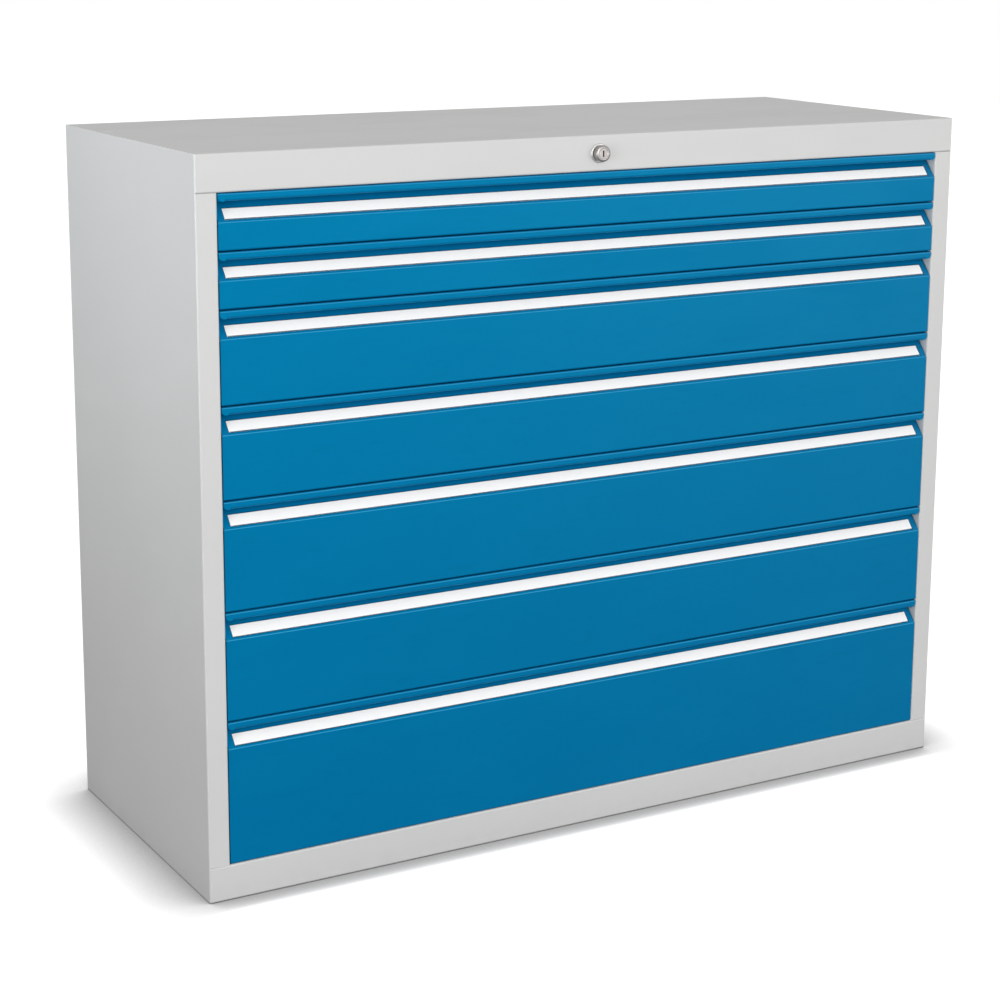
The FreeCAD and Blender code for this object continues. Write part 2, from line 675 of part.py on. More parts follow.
os.makedirs("parts", exist_ok=True)
for piece_name, shape in build().items():
    shape.exportStep(f"parts/{piece_name}.step")
    print(piece_name, len(shape.Solids), "solid(s)", round(shape.Volume / 1000, 1), "cm3")
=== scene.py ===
import math

import bmesh
import bpy
import numpy as np
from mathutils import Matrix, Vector


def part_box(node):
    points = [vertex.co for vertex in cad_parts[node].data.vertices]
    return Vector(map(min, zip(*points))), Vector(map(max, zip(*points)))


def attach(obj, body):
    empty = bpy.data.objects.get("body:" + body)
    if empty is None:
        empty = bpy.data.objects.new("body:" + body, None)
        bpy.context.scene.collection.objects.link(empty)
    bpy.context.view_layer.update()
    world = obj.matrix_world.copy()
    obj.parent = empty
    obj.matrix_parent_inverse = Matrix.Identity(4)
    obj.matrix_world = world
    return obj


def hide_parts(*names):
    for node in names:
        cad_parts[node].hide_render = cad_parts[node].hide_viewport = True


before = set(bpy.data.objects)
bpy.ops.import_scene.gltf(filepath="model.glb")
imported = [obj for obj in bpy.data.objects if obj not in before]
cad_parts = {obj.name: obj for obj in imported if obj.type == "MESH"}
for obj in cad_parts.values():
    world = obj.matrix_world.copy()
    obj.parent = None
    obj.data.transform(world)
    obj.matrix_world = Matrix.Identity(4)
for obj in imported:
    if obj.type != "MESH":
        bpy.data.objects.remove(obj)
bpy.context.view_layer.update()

# ---------------------------------------------------------------------------------------------
# Housing: two folded sides, a top, a base and a back of 1.5 mm steel sheet, welded together.
# It is coated in light grey powder after welding: the film runs thin on the folds, and leaves a
# fine orange peel and the dimples of the spot welds at the back. Dust gathers in patches along its
# foot, and painted shade darkens its lowest few millimetres next to the floor.


class Amount:
    """A number that varies over a surface, held as the socket that gives it. Arithmetic on amounts
    adds Math nodes to the finish they belong to."""

    def __init__(self, finish, socket):
        self.finish = finish
        self.socket = socket

    def other(self, output):
        """Another output of the node that gives this one."""
        return Amount(self.finish, self.socket.node.outputs[output])

    def __add__(self, other):
        return self.finish.math("ADD", self, other)

    def __sub__(self, other):
        return self.finish.math("SUBTRACT", self, other)

    def __rsub__(self, other):
        return self.finish.math("SUBTRACT", other, self)

    def __mul__(self, other):
        return self.finish.math("MULTIPLY", self, other)

    def __truediv__(self, other):
        return self.finish.math("DIVIDE", self, other)

    def __pow__(self, other):
        return self.finish.math("POWER", self, other)

    def __abs__(self):
        return self.finish.math("ABSOLUTE", self)

    __radd__ = __add__
    __rmul__ = __mul__


class Finish:
    """A material while it is being mixed. Its plain colour and roughness stay on the sockets, for a
    viewer that shows no nodes. node() adds any one node, and the methods after it name the few
    combinations that the finishes of this cabinet use again and again."""

    def __init__(self, name, colour, roughness, **constants):
        self.material = bpy.data.materials.new(name)
        self.material.use_nodes = True
        self.tree = self.material.node_tree
        self.surface = self.tree.nodes["Principled BSDF"].inputs
        self.colour = (*colour, 1.0)
        self.show(Base_Color=self.colour, Roughness=roughness, **constants)
        self.place = self.node("ShaderNodeTexCoord", {}, {}, "Object")
        self.x = self.node("ShaderNodeSeparateXYZ", {}, {0: self.place})
        self.y = self.x.other(1)
        self.z = self.x.other(2)

    def node(self, kind, settings, sockets, output=0):
        """Adds a node: its settings first, then the value or the link of each of its sockets."""
        made = self.tree.nodes.new(kind)
        for setting, value in settings.items():
            setattr(made, setting, value)
        for socket, value in sockets.items():
            self.feed(made.inputs[socket], value)
        return Amount(self, made.outputs[output])

    def math(self, operation, *values):
        """One Math node, fed with these values in order."""
        return self.node("ShaderNodeMath", {"operation": operation}, dict(enumerate(values)))

    def feed(self, socket, value):
        """Links a varying amount to a socket, or sets a constant on it."""
        if isinstance(value, Amount):
            self.tree.links.new(value.socket, socket)
        else:
            socket.default_value = value

    def show(self, **looks):
        """Feeds inputs of the surface, each named as Blender names it, with _ for a space."""
        for look, value in looks.items():
            self.feed(self.surface[look.replace("_", " ")], value)

    def noise(self, size, detail=2.0, stretch=(1.0, 1.0, 1.0)):
        """Smooth noise between 0 and 1. Its lumps have this size in metres, times the stretch along
        each axis, and the detail is how many finer layers they carry."""
        scaled = self.node("ShaderNodeVectorMath", {"operation": "DIVIDE"}, {0: self.place, 1: stretch})
        sockets = {"Vector": scaled, "Scale": 1.0 / size, "Detail": detail}
        return self.node("ShaderNodeTexNoise", {"noise_dimensions": "3D"}, sockets)

    def rise(self, value, low, high):
        """0 below the low limit, 1 above the high one, and an S-shaped ramp between them."""
        sockets = {"Value": value, "From Min": low, "From Max": high}
        return self.node("ShaderNodeMapRange", {"interpolation_type": "SMOOTHSTEP"}, sockets)

    def blend(self, share, first, second):
        """The first colour where the share is 0, the second where it is 1."""
        return self.node("ShaderNodeMix", {"data_type": "RGBA"}, {0: share, 6: first, 7: second}, 2)

    def shade(self, factor, colour=None):
        """A colour made lighter or darker by a factor."""
        grey = self.node("ShaderNodeCombineColor", {}, {0: factor, 1: factor, 2: factor})
        sockets = {0: 1.0, 6: colour or self.colour, 7: grey}
        return self.node("ShaderNodeMix", {"data_type": "RGBA", "blend_type": "MULTIPLY"}, sockets, 2)

    def bump(self, height, depth, normal=None):
        """Relief of this depth in metres, on the surface or on top of another relief."""
        sockets = {"Strength": 1.0, "Distance": depth, "Height": height}
        if normal:
            sockets["Normal"] = normal
        return self.node("ShaderNodeBump", {}, sockets)

    def facing(self):
        """The X, Y and Z of the direction that the surface faces."""
        direction = self.node("ShaderNodeNewGeometry", {}, {}, "Normal")
        facing_x = self.node("ShaderNodeSeparateXYZ", {}, {0: direction})
        return facing_x, facing_x.other(1), facing_x.other(2)

    def dot(self, first, second):
        """The dot product of two directions."""
        sockets = {0: first, 1: second}
        return self.node("ShaderNodeVectorMath", {"operation": "DOT_PRODUCT"}, sockets, "Value")

    def openness(self, reach):
        """1 in the open, falling towards 0 where other surfaces stand within this reach in metres."""
        return self.node("ShaderNodeAmbientOcclusion", {"samples": 8}, {"Distance": reach}, "AO")

    def rounded(self, radius):
        """The direction of the surface with its edges eased to this radius."""
        return self.node("ShaderNodeBevel", {"samples": 4}, {"Radius": radius})

    def edges(self, eased):
        """1 on the edges that the eased direction rounds over, 0 on flat sheet."""
        flat = self.node("ShaderNodeNewGeometry", {}, {}, "Normal")
        return 1 - self.rise(self.dot(flat, eased), 0.90, 0.995)

    def put_on(self, *nodes):
        """Coats CAD nodes, by giving their material slots this material."""
        for node in nodes:
            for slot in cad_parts[node].material_slots:
                slot.material = self.material


FILM_PATCH = 0.28
SMEAR_PATCH = 0.09
PEEL_SIZE = 0.0032
GRAIN_SIZE = 0.0009
PEEL_DEPTH = 0.00002


def powder_coat(name, colour, roughness, gloss, **constants):
    """Baked powder. Its tone follows the thickness of the film, which drifts over a hand's breadth,
    and its matt is a roughness with wiped smears in it. Each coat below adds its own wear to both,
    and the housing and the fronts add painted shade, the fronts a painted highlight too."""
    coat = Finish(name, colour, roughness, Specular_IOR_Level=gloss, **constants)
    film = coat.noise(FILM_PATCH, 2.0)
    smears = coat.rise(coat.noise(SMEAR_PATCH, 3.0, (2.2, 1.0, 0.6)), 0.45, 0.70)
    coat.tone = 0.975 + 0.05 * film
    coat.matt = roughness + 0.10 * smears + 0.08 * (film - 0.5)
    return coat


def orange_peel(coat, under=None):
    """The peel of baked powder with finer grain in it, on top of another relief if one is given."""
    peel = coat.noise(PEEL_SIZE, 1.0) + 0.3 * coat.noise(GRAIN_SIZE, 1.0)
    return coat.bump(peel, PEEL_DEPTH, under)


WELD_PITCH = 0.075
WELD_CORE = 0.0012
WELD_RIM = 0.0028
WELD_DEPTH = 0.0004
WELD_COLUMN_X = 0.605
WELD_ROW_Z = 0.490
MIDDLE_Z = 0.5
BACK_FACE_Y = 0.2435


def weld_dimples(coat, along, across):
    """Round dimples at each pitch along a flange. Wrapping the place along the flange at the pitch
    gives the step to the nearest weld, and the distance is the root of step squared plus across
    squared."""
    step = WELD_PITCH * (coat.math("FRACT", along / WELD_PITCH) - 0.5)
    distance = (step * step + across * across) ** 0.5
    return 1 - coat.rise(distance, WELD_CORE, WELD_RIM)


housing_coat = powder_coat("housing_coat", (0.620, 0.622, 0.613), 0.42, 0.40)
from_column = abs(abs(housing_coat.x) - WELD_COLUMN_X)
from_row = abs(abs(housing_coat.z - MIDDLE_Z) - WELD_ROW_Z)
columns = weld_dimples(housing_coat, housing_coat.z, from_column)
rows = weld_dimples(housing_coat, housing_coat.x, from_row)
on_back = housing_coat.rise(housing_coat.y, BACK_FACE_Y - 0.0007, BACK_FACE_Y - 0.0003)
welds = housing_coat.math("MAXIMUM", columns, rows) * on_back
facing_x, facing_y, facing_z = housing_coat.facing()
squareness = housing_coat.math("MAXIMUM", abs(facing_x), abs(facing_y))
squareness = housing_coat.math("MAXIMUM", squareness, abs(facing_z))
folded = 1 - housing_coat.rise(squareness, 0.92, 0.995)
foot_dust = (1 - housing_coat.rise(housing_coat.z, 0.0, 0.04)) * housing_coat.noise(0.02, 4.0)
# Painted shade: the lowest few millimetres are darkened by half, as the shade next to the floor.
foot_shade_line = 1 - housing_coat.rise(housing_coat.z, 0.0008, 0.0035)
# The tone carries the dust, the painted shade at the foot and the weld dimples.
dust_and_shade = (1 - 0.10 * foot_dust) * (1 - 0.50 * foot_shade_line) * (1 - 0.06 * welds)
housing_coat.show(
    Base_Color=housing_coat.shade(housing_coat.tone * dust_and_shade),
    Roughness=housing_coat.matt - 0.10 * folded,
    Normal=housing_coat.bump(1 - welds, WELD_DEPTH, orange_peel(housing_coat)),
)
housing_coat.put_on("side_left", "side_right", "back_panel", "base_cover", "top_cover")

# ---------------------------------------------------------------------------------------------
# Posts, slides, lock rod, nut and locking bar: cold-rolled strip and bar, bright zinc plated.
# The zinc keeps the mill's rolling lines along each strip, and clouds over in soft patches.

front_nodes = [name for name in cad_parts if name.startswith("drawer_") and name.endswith("_front")]
drawer_numbers = range(1, 1 + len(front_nodes))
LINE_STRETCH = 60.0


def plated_steel(name, stretch):
    """Zinc over rolled steel: metallic, with clouds in the plating and hair lines along the stretch."""
    plate = Finish(name, (0.58, 0.59, 0.60), 0.36, Metallic=1.0)
    clouds = plate.noise(0.018, 3.0)
    hair = plate.noise(0.0007, 3.0, stretch)
    plate.show(
        Base_Color=plate.shade(0.86 + 0.22 * clouds + 0.06 * hair),
        Roughness=0.30 + 0.16 * clouds + 0.08 * hair,
        Normal=plate.bump(hair, 0.00002, plate.rounded(0.0006)),
    )
    return plate


plated_steel("rail_zinc", (1.0, LINE_STRETCH, 1.0)).put_on(
    "slides_fixed_left", "slides_fixed_right", "lock_rod", "lock_nut",
    *[f"drawer_{number}_slide_inner" for number in drawer_numbers],
    *[f"drawer_{number}_slide_middle" for number in drawer_numbers],
)
plated_steel("post_zinc", (1.0, 1.0, LINE_STRETCH)).put_on(
    "post_front_left", "post_front_right", "post_rear_left", "post_rear_right", "locking_bar",
)

# ---------------------------------------------------------------------------------------------
# Trays: folded from 1.2 mm sheet and coated in the same light grey as the housing.
# What is stored in them slides about, so their floors are scuffed lengthways and the rims rubbed.

tray_coat = powder_coat("tray_coat", (0.640, 0.642, 0.632), 0.46, 0.40)
eased = tray_coat.rounded(0.0005)
rims = tray_coat.edges(eased)
wear_and_highlight = rims * tray_coat.rise(tray_coat.noise(0.03, 3.0), 0.45, 0.62)
scuffs = tray_coat.rise(tray_coat.noise(0.004, 4.0, (1.0, 22.0, 1.0)), 0.60, 0.68)
scuffs = scuffs * tray_coat.rise(tray_coat.noise(0.12, 2.0), 0.42, 0.60)
settled = tray_coat.rise(tray_coat.noise(0.05, 5.0), 0.50, 0.75)
tray_tone = (tray_coat.tone + 0.04 * wear_and_highlight) * (1 - 0.10 * scuffs) * (1 - 0.05 * settled)
tray_coat.show(
    Base_Color=tray_coat.shade(tray_tone),
    Roughness=tray_coat.matt - 0.08 * rims,
    Normal=orange_peel(tray_coat, eased),
)
tray_coat.put_on(*[f"drawer_{number}_tray" for number in drawer_numbers])

# ---------------------------------------------------------------------------------------------
# Slide rivets: three steel rivets a side hold each inner slide channel to its tray.
# Their low domed heads show on the inside of the tray's walls when a drawer is pulled out.


SHARP_TURN = math.radians(32)
SAME_POINT = 1e-7


def shell(name, points, faces):
    """A closed surface with its faces outward, smooth but for the edges that turn sharply. Points
    that fall in one place are joined."""
    mesh = bpy.data.meshes.new(name)
    mesh.from_pydata(points.tolist(), [], faces)
    work = bmesh.new()
    work.from_mesh(mesh)
    bmesh.ops.remove_doubles(work, verts=work.verts, dist=SAME_POINT)
    bmesh.ops.recalc_face_normals(work, faces=work.faces)
    work.to_mesh(mesh)
    work.free()
    mesh.shade_smooth()
    mesh.set_sharp_from_angle(angle=SHARP_TURN)
    piece = bpy.data.objects.new(name, mesh)
    bpy.context.scene.collection.objects.link(piece)
    return piece


def turned(name, profile, centres, axis, sides):
    """A solid of revolution at each centre. A point is the centre, plus the axis times the profile's
    height, plus the profile's radius times a unit circle square to the axis; the profile is a closed
    loop of (radius, height) pairs, and where its radius is 0 the ring closes to a point."""
    axis = np.array(axis, float)
    upright = np.array((0.0, 0.0, 1.0))
    across = np.cross(axis, upright)
    angle = np.linspace(0.0, 2.0 * np.pi, sides, endpoint=False)
    circle = np.cos(angle)[:, None] * across + np.sin(angle)[:, None] * upright
    radius, height = np.array(profile, float).T
    one = radius[:, None, None] * circle[None] + height[:, None, None] * axis
    points = (np.array(centres, float)[:, None, None] + one[None]).reshape(-1, 3)
    rings = len(radius)
    ring, side = np.meshgrid(np.arange(rings), np.arange(sides), indexing="ij")
    onward = (ring + 1) % rings
    around = (side + 1) % sides
    corners = [ring * sides + side, ring * sides + around, onward * sides + around, onward * sides + side]
    quads = np.stack(corners, axis=-1).reshape(-1, 4)
    first_points = np.arange(len(centres))[:, None, None] * rings * sides
    quads = (quads[None] + first_points).reshape(-1, 4)
    return shell(name, points, quads.tolist())


RIVET_RADIUS = 0.0040
RIVET_RISE = 0.0009
RIVET_SEAT = -0.0004
RIVET_SIDES = 20
RIVET_DEPTHS = (0.060, 0.230, 0.400)
RIVET_LEVEL = 0.030
WALL_INSIDE_X = 0.5680
rivet_arc = np.linspace(0.0, np.pi / 2, 6)
rivet_head = [(0.0, RIVET_SEAT), (RIVET_RADIUS, RIVET_SEAT)]
rivet_head += [(RIVET_RADIUS * math.cos(a), RIVET_RISE * math.sin(a)) for a in rivet_arc]
rivet_steel = Finish("rivet_steel", (0.60, 0.60, 0.60), 0.38, Metallic=1.0)
struck = rivet_steel.noise(0.0015, 3.0)
rivet_steel.show(
    Base_Color=rivet_steel.shade(0.86 + 0.24 * struck),
    Roughness=0.30 + 0.2 * struck,
    Normal=rivet_steel.bump(struck, 0.00006),
)

front_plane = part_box("drawer_1_front")[0].y
for number in drawer_numbers:
    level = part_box(f"drawer_{number}_tray")[0].z + RIVET_LEVEL
    for side_name, direction in (("left", -1), ("right", 1)):
        centres = [(direction * WALL_INSIDE_X, front_plane + depth, level) for depth in RIVET_DEPTHS]
        inward = (-direction, 0, 0)
        rivets = turned(f"drawer_{number}_rivets_{side_name}", rivet_head, centres, inward, RIVET_SIDES)
        rivets.data.materials.append(rivet_steel.material)
        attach(rivets, f"drawer_{number}")

# ---------------------------------------------------------------------------------------------
# Drawer fronts: one 1.5 mm sheet each, folded into the panel, the sloping label face, the finger
# hollow and the pull lip. They are powder coated in sky blue. A little grime dims the coat in random
# patches. Painted shade darkens the creases round the label strip and under the lip, and shows as a
# fine dark line. The bends that face up are painted a lighter blue as a highlight, and are smoother.

CREVICE_REACH = 0.005
# Painted highlight: the lighter blue that the upward bends are blended towards.
HIGHLIGHT_BLUE = (0.050, 0.290, 0.530, 1.0)
NO_RED = (0.0, 0.75, 1.0, 1.0)

front_coat = powder_coat("front_coat", (0.0, 0.152, 0.345), 0.40, 0.60, Specular_Tint=NO_RED)
hollow_grime = front_coat.rise(front_coat.noise(0.010, 4.0, (4.0, 1.0, 1.0)), 0.52, 0.74)
# Painted shade: where ambient occlusion finds other surfaces within the reach, on faces turned to the
# front, the colour is darkened.
open_air = front_coat.openness(CREVICE_REACH)
_, backward, upward = front_coat.facing()
crevice_shade = (1 - front_coat.rise(open_air, 0.25, 0.90)) * front_coat.rise(0 - backward, 0.3, 0.6)
underside = 1 - front_coat.rise(upward, -0.5, -0.1)
# Painted highlight: the bends between panel and slope, and over the lip, are coloured lighter; on the
# trays the same name is rubbed wear.
highlit_bends = front_coat.rise(upward, 0.06, 0.20) * (1 - front_coat.rise(upward, 0.45, 0.60)) * (1 - crevice_shade)
wear_and_highlight = highlit_bends * (0.40 + 0.45 * front_coat.noise(0.04, 3.0))
highlit_blue = front_coat.blend(wear_and_highlight, front_coat.colour, HIGHLIGHT_BLUE)
# Random grime, and the painted shade in the creases.
grime_and_shade = (1 - 0.04 * hollow_grime) * (1 - 0.85 * crevice_shade)
front_coat.show(
    Base_Color=front_coat.shade(front_coat.tone * grime_and_shade, highlit_blue),
    Roughness=front_coat.matt - 0.12 * highlit_bends + 0.35 * underside,
    Normal=orange_peel(front_coat),
)
front_coat.put_on(*front_nodes)

# ---------------------------------------------------------------------------------------------
# Labels: a strip of plain white card lies in the pocket pressed into each sloping face.
# The card is uncoated, so it shows its fibres close up, and it has yellowed a very little.

card = Finish("label_card_stock", (0.975, 0.975, 0.968), 0.85, Specular_IOR_Level=0.2)
fibres = card.noise(0.0006, 4.0, (3.0, 1.0, 1.0))
yellowed = card.rise(card.noise(0.15, 2.0), 0.45, 0.75)
card_colour = card.blend(0.30 * yellowed, card.colour, (0.970, 0.962, 0.940, 1.0))
card.show(
    Base_Color=card.shade(0.995 + 0.01 * fibres, card_colour),
    Roughness=0.80 + 0.12 * fibres,
    Normal=card.bump(fibres, 0.00003),
)
card.put_on(*[f"drawer_{number}_label" for number in drawer_numbers])

# ---------------------------------------------------------------------------------------------
# Label covers: a clear extruded strip, 2 mm thick, pressed into the pocket over the card.
# Its face shows only sheen and fine wiping scratches. Its lower edge is painted blue-black and
# nearly opaque, as a painted reflection of the shaded sheet under it.

SLOPE_DEPTH = 0.0200
SLOPE_HEIGHT = 0.0245
slope = math.atan2(SLOPE_DEPTH, SLOPE_HEIGHT)
down_the_slope = (0.0, -math.sin(slope), -math.cos(slope))

cover = Finish("cover_strip", (0.98, 0.99, 1.0), 0.14, Specular_IOR_Level=0.5)
wiped = cover.rise(cover.noise(0.0012, 3.0, (30.0, 1.0, 1.0)), 0.58, 0.70)
grazing = cover.node("ShaderNodeLayerWeight", {}, {"Blend": 0.25}, "Facing")
direction = cover.node("ShaderNodeNewGeometry", {}, {}, "True Normal")
outside = 1 - direction.other("Backfacing")
# Painted reflection: the face turned down the slope is coloured dark and made nearly opaque.
painted_dark_edge = cover.rise(cover.dot(direction, down_the_slope), 0.25, 0.70)
cover.show(
    Base_Color=cover.blend(painted_dark_edge, cover.colour, (0.01, 0.05, 0.09, 1.0)),
    Alpha=outside * (0.012 + 0.12 * grazing ** 3.0 + 0.02 * wiped + 0.90 * painted_dark_edge),
    Roughness=0.12 + 0.18 * wiped,
    Normal=cover.bump(wiped, 0.00001),
)


def eased_corner(centre, radius, start, end):
    """Five points of an arc about a centre, from one angle in degrees to another."""
    angles = np.radians(np.linspace(start, end, 5))
    return [(centre[0] + radius * math.cos(a), centre[1] + radius * math.sin(a)) for a in angles]


def leaning_bar(name, section, foot, lean, reach, taper):
    """A straight bar along X. Its section is a loop of (along, deep) pairs: a point is the foot, plus
    along times the leaning direction, plus deep times the direction square to it and backward. The
    rings run from -reach to reach along X, and the two end rings are drawn in by the taper."""
    section = np.array(section, float)
    middle = (section.max(axis=0) + section.min(axis=0)) / 2
    half = (section.max(axis=0) - section.min(axis=0)) / 2
    drawn_in = middle + (section - middle) * (1 - taper / half)
    rings = np.stack([drawn_in, section, section, drawn_in])
    up = np.array([0.0, math.sin(lean), math.cos(lean)])
    back = np.array([0.0, math.cos(lean), -math.sin(lean)])
    points = np.array(foot) + rings[..., :1] * up + rings[..., 1:] * back
    points[..., 0] = np.array([-reach, taper - reach, reach - taper, reach])[:, None]
    count = len(section)
    ring, side = np.meshgrid(np.arange(3), np.arange(count), indexing="ij")
    onward = ring + 1
    around = (side + 1) % count
    corners = [ring * count + side, ring * count + around, onward * count + around, onward * count + side]
    quads = np.stack(corners, axis=-1).reshape(-1, 4)
    ends = [list(range(count)), list(range(3 * count, 4 * count))]
    return shell(name, points.reshape(-1, 3), quads.tolist() + ends)


STRIP_EASE = 0.0003
STRIP_LIFT = 0.00008
STRIP_TAPER = 0.0004
sine = math.sin(slope)
cosine = math.cos(slope)
# A strip that is tall by thick stands tall * cosine + thick * sine high in its box, and tall * sine +
# thick * cosine deep. Solved for the two, this gives the strip's own measures. Its back lies a hair
# off the card.
for number in drawer_numbers:
    low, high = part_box(f"drawer_{number}_label_cover")
    size = high - low
    tall = (size.z * cosine - size.y * sine) / (cosine ** 2 - sine ** 2)
    thick = (size.y * cosine - size.z * sine) / (cosine ** 2 - sine ** 2)
    section = eased_corner((tall - STRIP_EASE, STRIP_EASE), STRIP_EASE, 0, -90)
    section += eased_corner((STRIP_EASE, STRIP_EASE), STRIP_EASE, 270, 180)
    section += [(0.0, thick - STRIP_LIFT), (tall, thick - STRIP_LIFT)]
    foot = (0.0, low.y, low.z + thick * sine)
    strip = leaning_bar(f"drawer_{number}_clear_strip", section, foot, slope, high.x, STRIP_TAPER)
    strip.data.materials.append(cover.material)
    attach(strip, f"drawer_{number}")
    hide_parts(f"drawer_{number}_label_cover")

# ---------------------------------------------------------------------------------------------
# Central lock: a turned die-cast barrel and its washer, satin nickel plated, clamped through the
# top rail by the nut behind. The plug inside it turns with the key, and painted shade darkens the
# groove behind the barrel's head.

lock_low, lock_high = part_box("lock_rosette")
lock_axis = ((lock_low.x + lock_high.x) / 2, front_plane, (lock_low.z + lock_high.z) / 2)
washer_radius = (lock_high.x - lock_low.x) / 2
OUTWARD = (0, -1, 0)
LOCK_SIDES = 96
RINGS_PER_METRE = 2600.0
# Radii of the barrel's turned steps, and their heights over the top rail.
BORE_RADIUS = 0.00705
SHANK_RADIUS = 0.0090
WAIST_RADIUS = 0.0098
HEAD_RADIUS = 0.0114
SHANK_BACK = -0.0180
WASHER_FACE = 0.0020
WAIST_END = 0.0044
BACK_CORNER = 0.0052
FACE_CORNER = 0.0101
HEAD_FACE = 0.0120
FACE_GROOVE = 0.0003
BORE_CHAMFER = 0.0007


def satin_nickel(name, colour, roughness):
    """Nickel on turned metal: the tool's rings run round the lock's axis, as noise on the radius.
    Painted shade darkens the groove between the washer and the head, from the waist out to
    the head's rim."""
    plate = Finish(name, colour, roughness, Metallic=1.0)
    reach_x = plate.x - lock_axis[0]
    reach_z = plate.z - lock_axis[2]
    radius = (reach_x * reach_x + reach_z * reach_z) ** 0.5
    proud = front_plane - plate.y
    turns = {"W": radius * RINGS_PER_METRE, "Scale": 1.0, "Detail": 2.0}
    rings = plate.node("ShaderNodeTexNoise", {"noise_dimensions": "1D"}, turns)
    tarnish = plate.noise(0.006, 3.0)
    # Painted shade: the groove between washer and head is darkened in colour.
    groove_shade = plate.rise(proud, WASHER_FACE - 0.0002, WASHER_FACE + 0.0004)
    groove_shade = groove_shade * (1 - plate.rise(proud, WAIST_END - 0.0002, WAIST_END + 0.0006))
    groove_shade = groove_shade * (1 - plate.rise(radius, WAIST_RADIUS + 0.0002, HEAD_RADIUS - 0.0004))
    tone = (0.90 + 0.14 * tarnish + 0.08 * (rings - 0.5)) * (1 - 0.75 * groove_shade)
    plate.show(
        Base_Color=plate.shade(tone),
        Roughness=roughness + 0.10 * tarnish + 0.05 * rings + 0.3 * groove_shade,
        Normal=plate.bump(rings, 0.00002),
    )
    return plate


nickel = satin_nickel("lock_nickel", (0.70, 0.69, 0.68), 0.34)
dull_nickel = satin_nickel("lock_face_nickel", (0.42, 0.40, 0.39), 0.30)

WASHER_EASE = 0.0012
WASHER_RIM = 0.0005
WASHER_BORE = WAIST_RADIUS - 0.0008
washer_profile = [(WASHER_BORE, 0.0), (washer_radius, 0.0), (washer_radius, WASHER_RIM)]
washer_profile += eased_corner((washer_radius - WASHER_EASE, 0.0007), WASHER_EASE, 0, 80)
washer_profile += [(WAIST_RADIUS + 0.0006, WASHER_FACE), (WASHER_BORE, WASHER_FACE)]
washer = turned("lock_washer", washer_profile, [lock_axis], OUTWARD, LOCK_SIDES)
washer.data.materials.append(nickel.material)

BACK_EASE = 0.0005
FACE_EASE = 0.0016
groove_floor = HEAD_FACE - FACE_GROOVE
bore_mouth = HEAD_FACE - BORE_CHAMFER
barrel_profile = [(BORE_RADIUS, SHANK_BACK), (SHANK_RADIUS, SHANK_BACK), (SHANK_RADIUS, WASHER_FACE)]
barrel_profile += [(WAIST_RADIUS, WASHER_FACE), (WAIST_RADIUS, WAIST_END)]
barrel_profile += eased_corner((HEAD_RADIUS - BACK_EASE, BACK_CORNER), BACK_EASE, -60, 0)
barrel_profile += eased_corner((HEAD_RADIUS - FACE_EASE, FACE_CORNER), FACE_EASE, 0, 78)
barrel_profile += [(0.0090, HEAD_FACE), (0.0088, groove_floor), (0.0085, groove_floor)]
barrel_profile += [(0.0083, HEAD_FACE), (0.0076, HEAD_FACE), (BORE_RADIUS, bore_mouth)]
barrel = turned("lock_barrel", barrel_profile, [lock_axis], OUTWARD, LOCK_SIDES)
barrel.data.materials.append(dull_nickel.material)

RIM_OUTSIDE = 0.00685
RIM_FACE = 0.0118
rim_profile = [(0.0046, bore_mouth), (RIM_OUTSIDE, bore_mouth), (RIM_OUTSIDE, 0.0115)]
rim_profile += [(0.0066, RIM_FACE), (0.0052, RIM_FACE)]
plug_rim = turned("lock_plug_rim", rim_profile, [lock_axis], OUTWARD, LOCK_SIDES)
plug_rim.data.materials.append(dull_nickel.material)

for piece, body in ((washer, "housing"), (barrel, "housing"), (plug_rim, "lock_cylinder")):
    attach(piece, body)
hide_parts("lock_rosette")
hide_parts("lock_housing")
satin_nickel("plug_nickel", (0.34, 0.32, 0.31), 0.30).put_on("lock_plug")

# ---------------------------------------------------------------------------------------------
# Blanking plug: a moulded polyamide button pushed into the spare hole at the left of the top.
# It has the fine grain of its mould and sits flush with the sheet.

button = Finish("plug_grey", (0.74, 0.74, 0.72), 0.50, Specular_IOR_Level=0.4)
grain = button.noise(0.0005, 2.0)
button.show(
    Base_Color=button.shade(0.97 + 0.05 * button.noise(0.004, 2.0)),
    Roughness=0.46 + 0.12 * grain,
    Normal=button.bump(grain, 0.00004),
)
button.put_on("top_plug")

# ---------------------------------------------------------------------------------------------
# Studio: a pale floor without an edge in sight, large soft lamps and a white room. The floor's own
# glow is plain white to the camera, and dims where the cabinet shuts out the open room: that is its
# soft shadow, narrower along the front. To every other ray the floor is plain grey without a glow.

FLOOR_RADIUS = 14.0
FLOOR_SIDES = 96
FLOOR_GREY = 0.20
UNSEEN_GREY = 0.28
SHADOW_REACH = 0.11
FRONT_REACH = 0.035

around = np.linspace(0.0, 2.0 * np.pi, FLOOR_SIDES, endpoint=False)
rim = [(FLOOR_RADIUS * math.cos(angle), FLOOR_RADIUS * math.sin(angle), 0.0) for angle in around]
ground = bpy.data.meshes.new("floor")
ground.from_pydata(rim, [], [list(range(FLOOR_SIDES))])
floor = bpy.data.objects.new("floor", ground)
bpy.context.scene.collection.objects.link(floor)

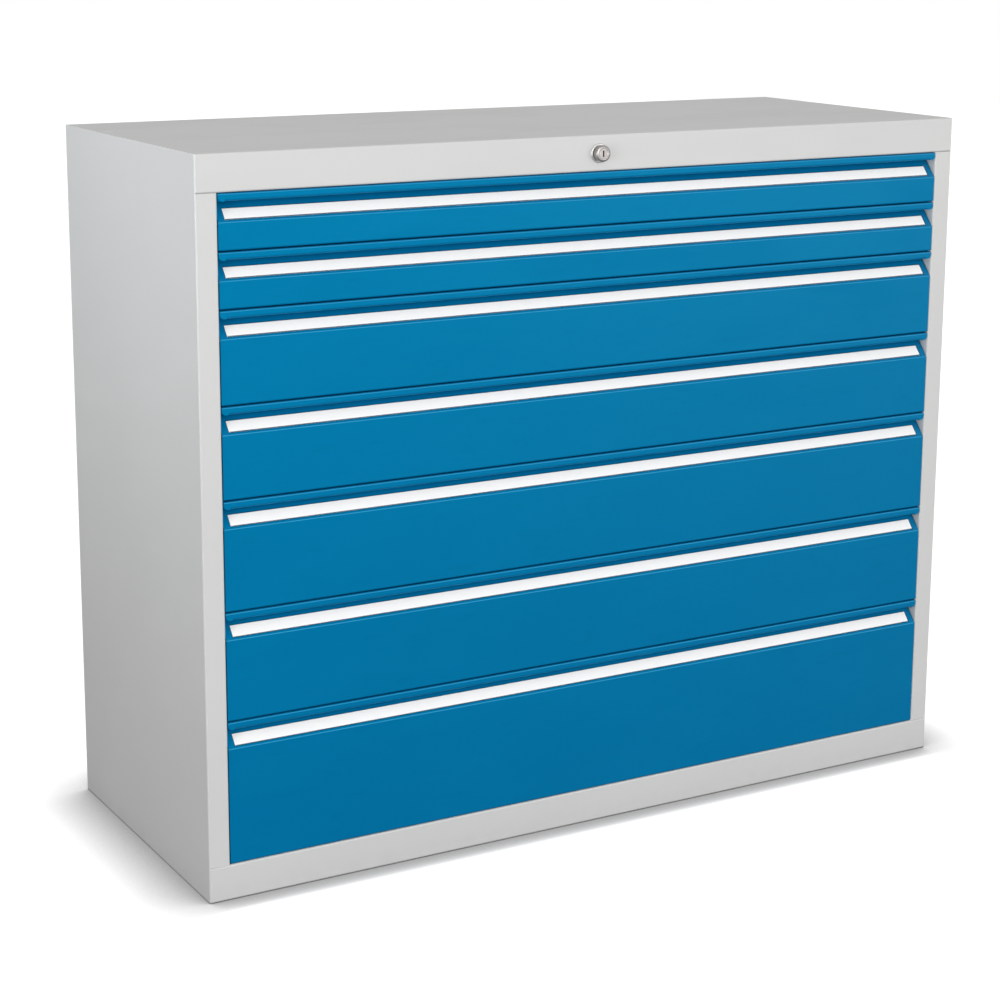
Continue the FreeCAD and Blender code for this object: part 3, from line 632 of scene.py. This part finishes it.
paper = Finish("floor_paper", (FLOOR_GREY, FLOOR_GREY, FLOOR_GREY), 0.90, Specular_IOR_Level=0.0)
ray = paper.node("ShaderNodeLightPath", {}, {}, "Is Camera Ray")
seen = paper.math("MINIMUM", 1.0, ray + ray.other("Is Transmission Ray"))
before_it = 1 - paper.rise(paper.y, -0.27, -0.235)
in_front = before_it * (1 - paper.rise(abs(paper.x), 0.59, 0.66))
reach = SHADOW_REACH - (SHADOW_REACH - FRONT_REACH) * in_front
open_sky = paper.openness(reach)
glow = seen * open_sky * open_sky
paper.show(
    Base_Color=paper.shade((UNSEEN_GREY - (UNSEEN_GREY - FLOOR_GREY) * seen) / FLOOR_GREY),
    Emission_Color=paper.node("ShaderNodeCombineColor", {}, {0: glow, 1: glow, 2: glow}),
    Emission_Strength=1.0,
)
ground.materials.append(paper.material)

WHITE = (1.0, 1.0, 1.0, 1.0)
ROOM_LEVEL = 0.67
room = bpy.data.worlds.new("room")
bpy.context.scene.world = room
room.use_nodes = True
walls = room.node_tree
lit = walls.nodes["Background"]
lit.inputs["Color"].default_value = WHITE
lit.inputs["Strength"].default_value = ROOM_LEVEL
backdrop = walls.nodes.new("ShaderNodeBackground")
backdrop.inputs["Color"].default_value = WHITE
backdrop.inputs["Strength"].default_value = 1.0
choice = walls.nodes.new("ShaderNodeMixShader")
walls.links.new(walls.nodes.new("ShaderNodeLightPath").outputs["Is Camera Ray"], choice.inputs[0])
walls.links.new(lit.outputs[0], choice.inputs[1])
walls.links.new(backdrop.outputs[0], choice.inputs[2])
walls.links.new(choice.outputs[0], walls.nodes["World Output"].inputs["Surface"])


def soft_lamp(name, place, aim, size, power, spread=180.0, colour=(1.0, 1.0, 1.0)):
    """A square diffuser of this size in metres, turned from its place towards the aim. A grid in
    front of it can narrow the spread of its light, in degrees, and a filter can tint it."""
    lamp = bpy.data.lights.new(name, "AREA")
    lamp.shape = "SQUARE"
    lamp.size = size
    lamp.energy = power
    lamp.color = colour
    lamp.spread = math.radians(spread)
    holder = bpy.data.objects.new(name, lamp)
    holder.visible_camera = False
    bpy.context.scene.collection.objects.link(holder)
    holder.location = place
    holder.rotation_euler = (Vector(aim) - Vector(place)).to_track_quat("-Z", "Y").to_euler()


soft_lamp("front_lamp", (-0.2, -4.2, 1.45), aim=(0.0, 0.0, 0.55), size=2.4, power=63.0)
soft_lamp("low_lamp", (2.4, -3.8, 0.6), aim=(0.0, 0.0, 0.9), size=2.0, power=37.0)
soft_lamp("edge_lamp", (-3.2, -1.73, 0.90), aim=(-0.6, -0.23, 0.6), size=0.95, power=26.0,
          colour=(0.99, 1.0, 1.01))
soft_lamp("grid_lamp", (-3.2, -0.2, 1.0), aim=(-0.6, 0.0, 1.25), size=1.2, power=2.0,
          spread=35.0, colour=(0.94, 1.0, 1.07))

# The camera has a long lens and stands to the left of the cabinet, a little above its top. The lens
# is shifted down a little, so that the uprights lean less.
camera_data = bpy.data.cameras.new("camera")
camera_data.sensor_width = 36.0
camera_data.lens = 82.09
camera_data.shift_y = -0.10
camera_data.clip_start = 0.05
camera_data.clip_end = 60.0
camera = bpy.data.objects.new("camera", camera_data)
bpy.context.scene.collection.objects.link(camera)
camera.location = (-1.69472, -2.88389, 1.28238)
camera.rotation_euler = (1.36497, -0.00536, -0.52029)
bpy.context.scene.camera = camera
bpy.context.scene.view_settings.view_transform = "Standard"

bpy.context.view_layer.update()
